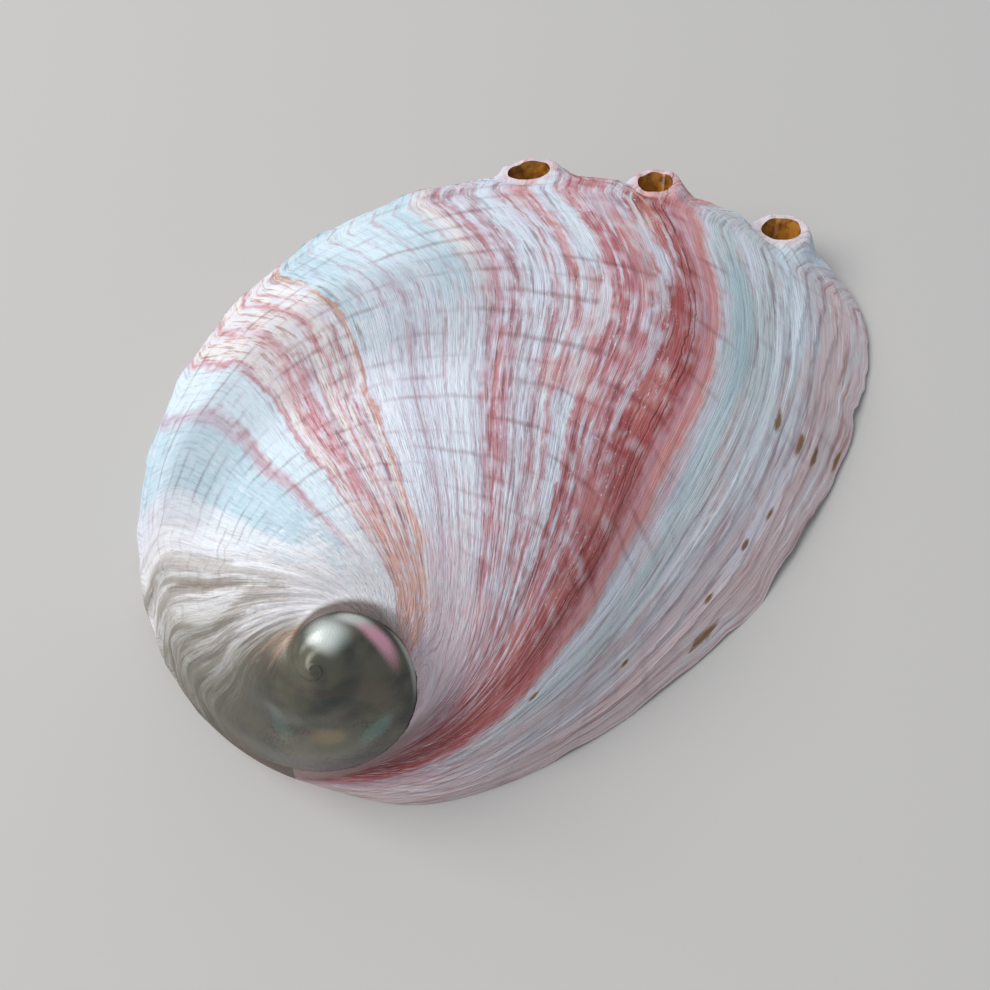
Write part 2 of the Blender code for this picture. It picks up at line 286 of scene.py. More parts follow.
class Sheet:
    """The spiral sheet.  Each corner of a face knows its point, coiling and place."""

    def __init__(self, share, whorls, spire_rows, sizes):
        self.columns = COLUMNS // share
        self.wall_rows = WALL_ROWS // share
        self.rows = ROWS // share
        self.spire_rows = spire_rows
        self.sizes = sizes
        self.points = np.zeros((0, 3))
        self.marks = np.zeros((0, 2))      # coiling and place of each point
        self.corners = np.zeros((0, 3))    # point, coiling and place of each corner
        self.faces = np.zeros((0, 3), int)
        body, wall = self.last_whorl()
        newer = body
        for whorl in range(1, whorls):
            newer = self.spire_whorl(whorl, newer)
        self.nucleus(newer, -WHORL * whorls)
        foot = wall[:, -1]
        self.edge = np.concatenate((body[0, self.wall_rows:], wall[0, 1:], foot[1:-1]))
        self.drop_unused()

    def times(self, whorl):
        """Moments of growth in one whorl, evenly spaced along the shoulder."""
        newest = math.exp(-GROWTH_RATE * WHORL * whorl)
        oldest = math.exp(-GROWTH_RATE * WHORL * (whorl + 1))
        return np.log(np.linspace(newest, oldest, self.columns + 1)) / GROWTH_RATE

    def grid(self, times, places):
        return np.meshgrid(times, places, indexing="ij")

    def add(self, points, coiling, place):
        """New points, and their numbers in the same shape."""
        start = len(self.points)
        self.points = np.concatenate((self.points, points.reshape(-1, 3)))
        marks = np.stack((coiling.ravel(), place.ravel()), -1)
        self.marks = np.concatenate((self.marks, marks))
        return np.arange(start, len(self.points)).reshape(coiling.shape)

    def add_corners(self, index, coiling, place):
        start = len(self.corners)
        new = np.stack((index.ravel(), coiling.ravel(), place.ravel()), -1)
        self.corners = np.concatenate((self.corners, new))
        return np.arange(start, len(self.corners)).reshape(index.shape)

    def fill(self, index, coiling, place):
        """Faces of one regular patch of the sheet."""
        ids = self.add_corners(index, coiling, place)
        a, b = ids[:-1, :-1].ravel(), ids[1:, :-1].ravel()
        c, d = ids[1:, 1:].ravel(), ids[:-1, 1:].ravel()
        faces = np.concatenate((np.stack((a, c, b), -1), np.stack((a, d, c), -1)))
        self.faces = np.concatenate((self.faces, faces))

    def last_whorl(self):
        """The last whorl with its side wall.  Its oldest line ends where the lip starts."""
        times = self.times(0)
        coiling, place = self.grid(times, np.linspace(0, 1, self.rows + 1))
        worn = coiling - self.chips(place) * np.exp(coiling / self.sizes.chip_reach)
        body = self.add(sheet_point(worn, place), coiling, place)
        body[-1, -1] = body[0, 0]
        self.fill(body, coiling, place)
        coiling, place = self.grid(times, np.linspace(1, 2, self.wall_rows + 1))
        wall = self.add(wall_point(coiling, place - 1), coiling, place)
        wall[:, 0] = body[:, -1]
        wall[-1] = body[0, :self.wall_rows + 1]
        self.fill(wall, coiling, place)
        return body, wall

    def chips(self, place):
        """How far the lip is worn back at each place, in coiling."""
        waves = (0.6 * soft_noise(place * 11, place * 0, 5)
                 + 0.4 * soft_noise(place * 29, place * 0, 6))
        small = 0.22 * soft_noise(place * 90, place * 0, 7)
        along = smooth((place - LIP_ROOT) / 0.15) * smooth((1 - place) / 0.08)
        depth = 0.5 + 0.5 * waves + small
        for middle, width, notch in NOTCHES:
            depth = depth + notch * np.exp(-((place - middle) / width) ** 2)
        return self.sizes.chip_depth * np.clip(depth, 0, None) * along

    def spire_whorl(self, whorl, newer):
        """An older whorl, whose shoulder is the suture of the newer one."""
        coiling, place = self.grid(self.times(whorl), np.linspace(0, 1, self.spire_rows + 1))
        index = self.add(sheet_point(coiling, place), coiling, place)
        index[1:, -1] = newer[1:, 0]
        self.fill(index[1:], coiling[1:], place[1:])
        fine = self.add_corners(newer[-1], np.full(len(newer[-1]), coiling[0, 0]),
                                np.linspace(0, 1, len(newer[-1])))
        coarse = self.add_corners(index[1], coiling[1], place[1])
        self.faces = np.concatenate((self.faces, bridge(fine, coarse)))
        index[0, 0] = newer[-1, 0]
        return index

    def nucleus(self, oldest, start):
        """Fan that closes the middle of the spire."""
        loop = np.concatenate((oldest[:, 0], oldest[-1, 1:-1]))
        end = np.full(1, start)
        tip = self.add(self.points[loop].mean(0)[None], end, np.zeros(1))
        ring = self.add_corners(loop, np.full(len(loop), end[0]), np.zeros(len(loop)))
        top = self.add_corners(tip, end, np.zeros(1))
        fan = np.stack((ring, np.roll(ring, -1), np.full(len(ring), top[0])), -1)
        self.faces = np.concatenate((self.faces, fan))

    def drop_unused(self):
        """Leaves out the points that no face uses."""
        corner_points = self.corners[:, 0].astype(int)
        used = np.unique(corner_points[self.faces])
        new = np.full(len(self.points), -1)
        new[used] = np.arange(len(used))
        self.points, self.marks = self.points[used], self.marks[used]
        self.edge = new[self.edge]
        self.corners[:, 0] = new[corner_points]
        self.triangles = new[corner_points[self.faces]]


def bridge(fine, coarse):
    """Triangles between two rows of points, the first as fine or finer."""
    ratio = (len(fine) - 1) // (len(coarse) - 1)
    middle = ratio // 2
    triangles = []
    for k in range(len(coarse) - 1):
        for m in range(ratio):
            tip = coarse[k] if m < middle or ratio == 1 else coarse[k + 1]
            triangles.append((fine[k * ratio + m], fine[k * ratio + m + 1], tip))
        hinge = fine[k * ratio + (middle if ratio > 1 else 1)]
        triangles.append((hinge, coarse[k + 1], coarse[k]))
    return np.array(triangles)


def point_normals(points, triangles):
    """Outward direction at every point, weighted by area."""
    corners = points[triangles]
    cross = np.cross(corners[:, 1] - corners[:, 0], corners[:, 2] - corners[:, 0])
    normals = np.zeros_like(points)
    for k in range(3):
        np.add.at(normals, triangles[:, k], cross)
    normals /= np.linalg.norm(normals, axis=1)[:, None] + 1e-12
    return normals if normals[:, 2].mean() > 0 else -normals


# ---------------------------------------------------------------- relief

# Chips of the lip: place, width, and depth beside the common one
NOTCHES = (
    (0.42, 0.012, 0.5),
    (0.50, 0.020, 0.7),
    (0.585, 0.012, -0.8),
    (0.66, 0.045, 0.7),
    (0.77, 0.020, 0.4),
)
CORD_STEP = 0.03            # place from one cord to the next
CORD_WOBBLE = 0.004
DEEP_CORD = (0.682, 0.007)  # place and width of the deepest groove between cords
GROOVE = (0.85, 0.045)      # place and width of the long shallow groove


def corded_place(coiling, place):
    """Place with the small waves of the cords in it."""
    waves = soft_noise(coiling * 7, place * 6, 11) + 0.5 * soft_noise(coiling * 19, place * 9, 12)
    return place + CORD_WOBBLE * waves * (place < 1.5)


def cord_age(coiling):
    """The cords are clear on the middle of the shell and faint on its newest and oldest parts."""
    return 0.3 + 0.7 * smooth((coiling + 2.9) / 0.6) * smooth((-0.42 - coiling) / 0.2)


def cord_relief(coiling, place, sizes):
    phase = corded_place(coiling, place) / CORD_STEP
    groove = (1 - np.abs(np.sin(math.pi * phase))) ** 2
    strength = 0.55 + 0.45 * soft_noise(np.round(phase) + 0.5, coiling * 1.5, 13)
    middle = smooth((place - 0.15) / 0.4) * smooth((0.97 - place) / 0.15)
    depth = sizes.cord_depth * groove * strength * middle * cord_age(coiling)
    at, width = DEEP_CORD
    at = at + 0.010 * soft_noise(coiling * 3.2, place * 0, 14)
    when = smooth((coiling + 2.5) / 0.4) * smooth((-0.5 - coiling) / 0.3)
    depth += sizes.deep_cord * np.exp(-((place - at) / width) ** 2) * when
    return -depth


def growth_relief(coiling, place, sizes):
    """Ridges along the growth lines: fine ones everywhere, frilly ones near the lip."""
    bend = 0.02 * soft_noise(coiling * 4, place * 7, 21)
    time = coiling + bend
    fine = (0.5 * soft_noise(time / 0.024, place * 6, 22)
            + 0.5 * soft_noise(time / 0.05, place * 4, 23))
    broad = soft_noise(time / 0.12, place * 2.5, 24)
    height = sizes.ridge_depth * fine + sizes.fold_depth * broad
    fresh = smooth((coiling + 0.42) / 0.2) * smooth(-coiling / 0.03)
    saw = (time / 0.045 + 0.6 * soft_noise(time * 2, place * 9, 25)) % 1
    ragged = 0.5 + 0.5 * soft_noise(time / 0.06, place * 24, 26)
    height += sizes.frill_height * fresh * saw ** 2 * ragged
    old = smooth((-2.2 - coiling) / 0.5) * smooth((coiling + WHORL) / 0.3)
    spread = np.sin(2 * math.pi * (time / 0.16 + 0.3 * soft_noise(time * 5, place * 3, 27)))
    height += sizes.old_fold * old * spread * smooth(place / 0.25) * smooth((1 - place) / 0.1)
    return height


def with_holes(points, sizes):
    """Raised rims round the open holes, and low knobs with pits at the closed ones."""
    points = points.copy()
    pit = np.zeros(len(points))
    rim = np.zeros(len(points))
    for i, time in enumerate(hole_times()):
        scale = math.exp(GROWTH_RATE * time)
        ahead, side, out = hole_frame(time)
        arm = (points - shoulder(time)) / scale
        length = HOLE_LENGTHS[i] if i < OPEN_HOLES else 1.0
        gap = np.hypot(arm @ ahead / length, arm @ side)
        near = np.linalg.norm(arm, axis=1) < HOLE_REACH
        if i < OPEN_HOLES:
            level = outward(time) * math.sin(RIM_TILT) + np.array((0, 0, math.cos(RIM_TILT)))
            share = near * RIM_FIRMNESS * smooth((sizes.rim_radius + sizes.rim_slope - gap)
                                                 / sizes.rim_slope)
            uneven = sizes.rim_wear * soft_noise(
                arm @ ahead / RIM_GRAIN + 9 * i, arm @ side / RIM_GRAIN, 31)
            lift = (sizes.rim_height + uneven - arm @ level) / (out @ level) * share
            rim = np.maximum(rim, share * smooth(
                (sizes.rim_radius + RIM_COLOUR_FADE - gap) / RIM_COLOUR_FADE))
        else:
            hollow = near * smooth((PIT_RADIUS - gap) / PIT_SLOPE)
            lift = near * sizes.knob_height * np.exp(-(gap / sizes.knob_radius) ** 2)
            lift -= sizes.pit_depth * hollow
            pit = np.maximum(pit, hollow)
        points += out * (lift * scale)[:, None]
    return points, pit, rim


def relief(coiling, place, sizes):
    """Height of the outside above the plain sheet, without the holes."""
    height = cord_relief(coiling, place, sizes) + growth_relief(coiling, place, sizes)
    at, width = GROOVE
    height -= sizes.groove_depth * np.exp(-((place - at) / width) ** 2)
    height *= np.exp(GROWTH_RATE * coiling) * smooth(-coiling / 0.12)
    height *= np.where(place > 1, smooth((2 - place) / 0.3), 1)
    height *= 1 - smooth((0.2 - place) / 0.1) * smooth((coiling + 0.5) / 0.3)
    height *= 1 - np.exp(-((place - 1) / 0.03) ** 2) * smooth((-1.8 - coiling) / 0.6)
    start = coiling + WHORL - 0.1 * (place > 1)
    return height * smooth(start / 0.3)


def outside(sheet, sizes):
    """Points of the outside, with the masks of its pits and rims."""
    normals = point_normals(sheet.points, sheet.triangles)
    coiling, place = sheet.marks.T
    points = sheet.points + normals * relief(coiling, place, sizes)[:, None]
    points, pit, rim = with_holes(points, sizes)
    points[:, 2] = np.maximum(points[:, 2], LEAST_HEIGHT)
    points[sheet.edge] = sheet.points[sheet.edge]
    points[:, 2] = np.maximum(points[:, 2], 0)
    return points, pit, rim


def softened(sheet):
    """The sheet's points, each drawn towards its neighbours, with the edge held."""
    links = np.concatenate((sheet.triangles[:, :2], sheet.triangles[:, 1:],
                            sheet.triangles[:, ::2]))
    links = np.unique(np.sort(links, axis=1), axis=0)
    points = sheet.points.copy()
    held = points[sheet.edge]
    for _ in range(INSIDE_SOFTENING):
        total = np.zeros_like(points)
        count = np.zeros((len(points), 1))
        for here, there in (links.T, links.T[::-1]):
            np.add.at(total, here, points[there])
            np.add.at(count, here, 1)
        points = (points + total / count) / 2
        points[sheet.edge] = held
    return points


def inside(sheet):
    """The softened sheet moved inwards by the thickness, level near the ground."""
    points = softened(sheet)
    coiling, place = sheet.marks.T
    normals = point_normals(points, sheet.triangles)
    level = normals * (1, 1, 0)
    level /= np.linalg.norm(level, axis=1)[:, None] + 1e-9
    share = np.exp(-(points[:, 2] / EDGE_HEIGHT) ** 2)[:, None]
    way = normals * (1 - share) + level * share
    old = smooth((OLD_START - coiling) / OLD_BLEND)[:, None]
    way = way * (1 - old) + np.array((0, 0, 1)) * old
    way /= np.linalg.norm(way, axis=1)[:, None]
    moved = points - way * thickness(coiling, place)[:, None]
    moved[:, 2] = np.maximum(moved[:, 2], INSIDE_LEVEL * np.maximum(points[:, 2], 0))
    return moved


def colour_time(coiling, place):
    """Age of the colour at a point: the bands trail at the shoulder and the suture."""
    trail = 0.25 * np.clip((place - 0.88) / 0.12, 0, 1) ** 1.3
    fresh = smooth((coiling + 1.4) / 0.7)
    trail += 0.6 * np.clip(1 - place / 0.4, 0, 1) ** 2 * fresh
    old = smooth((-1.1 - coiling) / 0.4)
    lead = 0.45 * np.clip(1 - place / 0.2, 0, 1) ** 2 * old
    return coiling - trail + lead


# ---------------------------------------------------------------- meshes

def select_only(*items):
    bpy.ops.object.select_all(action="DESELECT")
    for item in items:
        item.select_set(True)
    bpy.context.view_layer.objects.active = items[0]


def add_uv(mesh, name, pairs):
    layer = mesh.uv_layers.new(name=name)
    layer.data.foreach_set("uv", np.asarray(pairs, np.float32).ravel())


def shell_mesh(name, sizes):
    """The closed shell before its holes are cut, with its UV maps."""
    fine = Sheet(1, WHORLS, SPIRE_ROWS, sizes)
    coarse = Sheet(INSIDE_SHARE, INSIDE_WHORLS, INSIDE_SPIRE_ROWS, sizes)
    outer, pit, rim = outside(fine, sizes)
    inner = inside(coarse)
    shift = len(outer)
    lip = bridge(np.append(fine.edge, fine.edge[0]),
                 np.append(coarse.edge, coarse.edge[0]) + shift)
    triangles = np.concatenate((fine.triangles, coarse.triangles + shift, lip))
    points = (np.concatenate((outer, inner)) - MIDDLE) * MM
    mesh = bpy.data.meshes.new(name)
    mesh.from_pydata(points.tolist(), [], triangles.tolist())

    marks = np.concatenate((fine.corners[fine.faces][..., 1:].reshape(-1, 2),
                            coarse.corners[coarse.faces][..., 1:].reshape(-1, 2)))
    all_marks = np.concatenate((fine.marks, coarse.marks))
    marks = np.concatenate((marks, all_marks[lip].reshape(-1, 2)))
    coiling, place = marks.T
    holes = np.zeros((len(points), 2))
    holes[:len(outer)] = np.stack((pit, rim), -1)
    add_uv(mesh, "growth", np.stack((place, coiling), -1))
    across = corded_place(coiling, np.where(place > 1, 1 + (place - 1) * WALL_SHARE, place))
    add_uv(mesh, "bands", np.stack((across, colour_time(coiling, place)), -1))
    add_uv(mesh, "holes", holes[triangles].reshape(-1, 2))
    slots = np.zeros(len(triangles), np.int32)
    slots[len(fine.triangles):-len(lip)] = 1
    slots[-len(lip):] = all_marks[lip][..., 1].min(axis=1) > PEARLY_FROM
    mesh.polygons.foreach_set("material_index", slots)
    mesh.validate()
    return mesh


def shell_piece(name, sizes, materials):
    """The shell's object, with its faces turned out."""
    item = bpy.data.objects.new(name, shell_mesh(name, sizes))
    bpy.context.scene.collection.objects.link(item)
    for finish in materials:
        item.data.materials.append(finish)
    select_only(item)
    bpy.ops.object.mode_set(mode="EDIT")
    bpy.ops.mesh.select_all(action="SELECT")
    bpy.ops.mesh.normals_make_consistent(inside=False)
    bpy.ops.object.mode_set(mode="OBJECT")
    return item


def hole_drills(sizes, materials):
    """One oval, lined drill for each open hole, joined in one helper object."""
    drills = []
    for time, length in zip(hole_times(), HOLE_LENGTHS):
        scale = math.exp(GROWTH_RATE * time) * MM
        turn = Matrix(hole_frame(time)).transposed().to_4x4()
        middle = (sizes.drill_top - sizes.drill_depth) / 2 * scale
        turn.translation = Vector(shoulder(time) - MIDDLE) * MM + turn.col[2].xyz * middle
        bpy.ops.mesh.primitive_cylinder_add(
            vertices=DRILL_SIDES, radius=sizes.hole_radius * scale,
            depth=(sizes.drill_top + sizes.drill_depth) * scale)
        drill = bpy.context.object
        drill.matrix_world = turn @ Matrix.Diagonal((length, 1, 1, 1))
        drills.append(drill)
    select_only(*drills)
    bpy.ops.object.join()
    drill = bpy.context.object
    bpy.ops.object.transform_apply(location=True, rotation=True, scale=True)
    for finish in materials:
        drill.data.materials.append(finish)
    for face in drill.data.polygons:
        face.material_index = len(materials) - 1
    return drill


def cut(item, drill):
    """Cuts the drill out of the item and removes the drill."""
    select_only(item)
    step = item.modifiers.new("holes", "BOOLEAN")
    step.object = drill
    step.operation = "DIFFERENCE"
    step.solver = "EXACT"
    bpy.ops.object.modifier_apply(modifier=step.name)
    bpy.data.objects.remove(drill, do_unlink=True)


# ---------------------------------------------------------------- nodes

class Net:
    """A node tree as it is built.  A value is a number or the socket of another node."""

    def __init__(self, tree):
        self.tree = tree

    def put(self, made, key, value):
        socket = made.inputs[key]
        if isinstance(value, bpy.types.NodeSocket):
            self.tree.links.new(value, socket)
        else:
            socket.default_value = value

    def fill(self, made, **inputs):
        for key, value in inputs.items():
            self.put(made, key.replace("_", " "), value)
        return made

    def add(self, kind, **inputs):
        """A node with some of its inputs set or joined."""
        return self.fill(self.tree.nodes.new(kind), **inputs)

    def math(self, operation, *values):
        made = self.tree.nodes.new("ShaderNodeMath")
        made.operation = operation
        for i, value in enumerate(values):
            self.put(made, i, value)
        return made.outputs[0]

    def plus(self, *values):
        return functools.reduce(functools.partial(self.math, "ADD"), values)

    def times(self, *values):
        return functools.reduce(functools.partial(self.math, "MULTIPLY"), values)

    def minus(self, first, second):
        return self.math("SUBTRACT", first, second)

    def centred(self, value, amount):
        """A value from 0 to 1, made to swing about 0 by half the amount each way."""
        return self.times(self.minus(value, 0.5), amount)

    def between(self, value, low, high, most=1.0):
        """Soft change from 0 to the most as the value goes from low to high."""
        made = self.add("ShaderNodeMapRange", Value=value, From_Min=low, From_Max=high,
                        To_Max=most)
        made.interpolation_type = "SMOOTHSTEP"
        return made.outputs["Result"]

    def mix(self, share, first, second, blend="MIX"):
        """The first colour with a share of the second."""
        made = self.tree.nodes.new("ShaderNodeMix")
        made.data_type = "RGBA"
        made.blend_type = blend
        for i, value in ((0, share), (6, first), (7, second)):
            self.put(made, i, value)
        return made.outputs[2]

    def vector(self, x, y):
        return self.add("ShaderNodeCombineXYZ", X=x, Y=y, Z=1.0).outputs[0]

    def vector_math(self, operation, *values):
        made = self.tree.nodes.new("ShaderNodeVectorMath")
        made.operation = operation
        for i, value in enumerate(values):
            self.put(made, i, value)
        return made.outputs["Value" if operation == "LENGTH" else "Vector"]

    def noise(self, place, time, across, along, detail=2, roughness=0.5):
        """Bumps of the sheet: so many for each unit of place and for each radian."""
        made = self.add(
            "ShaderNodeTexNoise", Scale=1.0, Detail=detail, Roughness=roughness,
            Vector=self.vector(self.times(place, across), self.times(time, along)))
        made.noise_dimensions = "2D"
        return made.outputs["Fac"]

    def grain(self, scale, detail, **inputs):
        """Bumps of the same size all round, so many to the metre."""
        where = self.tree.nodes.new("ShaderNodeTexCoord").outputs["Object"]
        return self.add("ShaderNodeTexNoise", Vector=where, Scale=scale, Detail=detail,
                        **inputs).outputs["Fac"]

    def ramp(self, share, stops):
        """Colour ramp through (position, colour) stops."""
        made = self.add("ShaderNodeValToRGB", Fac=share)
        points = made.color_ramp.elements
        while len(points) < len(stops):
            points.new(0.5)
        for point, (position, colour) in zip(points, stops):
            point.position = position
            point.color = (*colour[:3], 1)
        return made.outputs[0]

    def group(self, group, **inputs):
        made = self.tree.nodes.new("ShaderNodeGroup")
        made.node_tree = group
        return self.fill(made, **inputs).outputs[0]


def new_group(name, inputs, output, kind):
    """An empty node group: its net, its number inputs and its end."""
    tree = bpy.data.node_groups.new(name, "ShaderNodeTree")
    for title, value in inputs:
        socket = tree.interface.new_socket(title, in_out="INPUT", socket_type="NodeSocketFloat")
        socket.default_value = value
    tree.interface.new_socket(output, in_out="OUTPUT", socket_type=kind)
    given = tree.nodes.new("NodeGroupInput").outputs[:len(inputs)]
    return Net(tree), given, tree.nodes.new("NodeGroupOutput")


def line_group():
    """A thin line along one growth line."""
    net, given, end = new_group(
        "growth mark", (("Time", 0), ("At", 0), ("Width", 0.01), ("Strength", 1)),
        "Mask", "NodeSocketFloat")
    time, at, width, strength = given
    gap = net.math("ABSOLUTE", net.minus(time, at))
    net.put(end, 0, net.between(gap, width, net.times(width, LINE_CORE), strength))
    return net.tree


def spot_group():
    """A soft or ragged spot on the sheet."""
    net, given, end = new_group(
        "spot", (("Place", 0), ("Time", 0), ("At Place", 0), ("At Time", 0), ("Wide", 1),
                 ("Long", 1), ("Ragged", 0), ("Rough", 0.5), ("Strength", 1)),
        "Mask", "NodeSocketFloat")
    place, time, at_place, at_time, wide, long, ragged, rough, strength = given
    arm = net.vector_math("SUBTRACT", net.vector(place, time), net.vector(at_place, at_time))
    gap = net.vector_math("LENGTH", net.vector_math("DIVIDE", arm, net.vector(wide, long)))
    edge = net.math("MULTIPLY_ADD", rough, ragged, gap)
    outer = net.math("MULTIPLY_ADD", ragged, 0.5, 1.0)
    core = net.math("MULTIPLY_ADD", ragged, 0.75, 0.15)
    net.put(end, 0, net.between(edge, outer, core, strength))
    return net.tree


def pearl_group(colours):
    """Slow pearly changes of colour, for the worn spire and the inside."""
    net, given, end = new_group("pearl", (("Scale", 1),), "Color", "NodeSocketColor")
    bumps = net.grain(net.times(given[0], 90), 2.5, Distortion=1.2)
    pink, teal, pale = colours.pearl_pink_and_highlight, colours.pearl_teal, colours.pearl_pale_and_highlight
    stops = ((0.30, pale), (0.42, teal), (0.5, pale), (0.58, pink), (0.68, pale))
    net.put(end, 0, net.ramp(bumps, stops))
    return net.tree


# ---------------------------------------------------------------- finishes

# Bands of colour from the lip back, as (coiling, colour): near the shoulder,
# in the middle and near the suture
HIGH_BANDS = (
    (0.0, "pink_beige"), (-0.10, "pink_beige"), (-0.15, "grey_lilac"), (-0.22, "pale_turquoise"),
    (-0.28, "grey_turquoise"), (-0.36, "grey_turquoise"), (-0.43, "grey_turquoise"),
    (-0.445, "lilac_white"), (-0.475, "salmon"), (-0.50, "rose"), (-0.53, "deep_rose"),
    (-0.58, "red"), (-0.64, "deep_rose"), (-0.66, "lilac_white"), (-0.69, "rose"),
    (-0.74, "deep_rose"), (-0.78, "rose"), (-0.80, "pale_turquoise"), (-0.84, "lilac_white"),
    (-0.86, "salmon"), (-0.90, "lilac_white"), (-0.93, "lilac_white"), (-0.98, "pale_turquoise"),
    (-1.01, "mauve"), (-1.04, "lilac_white"), (-1.07, "mauve"), (-1.10, "cream"),
    (-1.15, "turquoise"), (-1.30, "pale_turquoise"), (-1.42, "turquoise"), (-1.495, "turquoise"),
    (-1.505, "orange"), (-1.53, "ivory"), (-1.60, "cream"), (-1.62, "rose"), (-1.64, "cream"),
    (-1.70, "cream"), (-1.72, "rose"), (-1.76, "cream"), (-1.83, "cream"), (-1.85, "rose"),
    (-1.88, "pale_turquoise"), (-2.01, "pale_turquoise"), (-2.04, "lilac"), (-2.06, "lilac"),
    (-2.10, "turquoise"), (-2.32, "turquoise"), (-2.40, "lilac_white"), (-2.62, "ivory"),
    (-2.72, "grey_beige"), (-2.80, "ivory"), (-2.92, "grey_beige"), (-3.30, "grey_beige"),
    (-3.64, "olive"),
)
MIDDLE_BANDS = (
    (0.0, "pink_beige"), (-0.12, "pink_beige"), (-0.18, "grey_lilac"), (-0.28, "grey_lilac"),
    (-0.36, "grey_turquoise"), (-0.42, "lilac_white"), (-0.445, "grey_lilac"), (-0.475, "salmon"),
    (-0.50, "rose"), (-0.53, "red"), (-0.62, "red"), (-0.66, "deep_rose"), (-0.71, "rose"),
    (-0.76, "deep_rose"), (-0.79, "rose"), (-0.80, "white"), (-0.84, "lilac_white"),
    (-0.86, "rose"), (-0.88, "white"), (-0.92, "mauve"), (-0.95, "lilac_white"),
    (-0.99, "grey_lilac"), (-1.01, "mauve"), (-1.06, "rose"), (-1.09, "mauve"),
    (-1.12, "lilac_white"), (-1.16, "white"), (-1.30, "lilac_white"), (-1.33, "lilac"),
    (-1.36, "lilac_white"), (-1.48, "white"), (-1.498, "lilac_white"), (-1.51, "salmon"),
    (-1.535, "cream"), (-1.56, "mauve"), (-1.60, "cream"), (-1.625, "rose"), (-1.65, "cream"),
    (-1.69, "mauve"), (-1.73, "rose"), (-1.77, "rose"), (-1.83, "cream"), (-1.85, "rose"),
    (-1.87, "pale_turquoise"), (-2.00, "pale_turquoise"), (-2.03, "mauve"), (-2.07, "lilac"),
    (-2.10, "turquoise"), (-2.34, "turquoise"), (-2.39, "white"), (-2.70, "ivory"),
    (-2.79, "grey_beige"), (-2.85, "ivory"), (-3.05, "grey_beige"), (-3.20, "ivory"),
    (-3.40, "grey_beige"), (-3.64, "olive"),
)
# Near the suture the bands use lighter copies of their colours: partly the shell's own paler
# colour, partly painted light that makes up for the shade on that side.
LOW_BANDS = (
    (0.0, "pink_beige"), (-0.25, "pink_beige"), (-0.36, "mauve"), (-0.41, "deep_rose"),
    (-0.46, "red"), (-0.60, "red"), (-0.72, "red"), (-0.80, "deep_rose"), (-0.90, "rose"),
    (-1.00, "low_mauve"), (-1.12, "low_lilac"), (-1.45, "low_lilac"), (-1.50, "low_salmon"),
    (-1.56, "low_salmon"), (-1.72, "low_salmon"), (-1.82, "low_salmon"), (-1.90, "low_white"),
    (-2.9, "low_white"), (-3.2, "low_white"), (-3.5, "grey_beige"), (-3.64, "brown"),
)
# Thin lines: coiling, half width, colour, strength
LINES = (
    (-0.455, 0.005, "brown", 0.20),
    (-0.540, 0.005, "dark_red", 0.65),
    (-0.562, 0.004, "dark_red", 0.60),
    (-0.610, 0.005, "dark_red", 0.35),
    (-0.870, 0.006, "rose", 0.60),
    (-0.915, 0.006, "deep_rose", 0.60),
    (-0.985, 0.007, "mauve", 0.60),
    (-1.060, 0.010, "deep_rose", 0.50),
    (-1.130, 0.008, "mauve", 0.45),
    (-1.175, 0.007, "mauve", 0.40),
    (-1.225, 0.008, "mauve", 0.50),
    (-1.280, 0.008, "mauve", 0.50),
    (-1.335, 0.008, "mauve", 0.55),
    (-1.395, 0.007, "mauve", 0.45),
    (-1.450, 0.006, "mauve", 0.30),
    (-1.508, 0.008, "orange", 0.60),
    (-1.570, 0.008, "rose", 0.35),
    (-1.625, 0.008, "rose", 0.45),
    (-1.710, 0.010, "mauve", 0.60),
    (-1.850, 0.010, "mauve", 0.60),
    (-2.800, 0.014, "brown", 0.25),
)
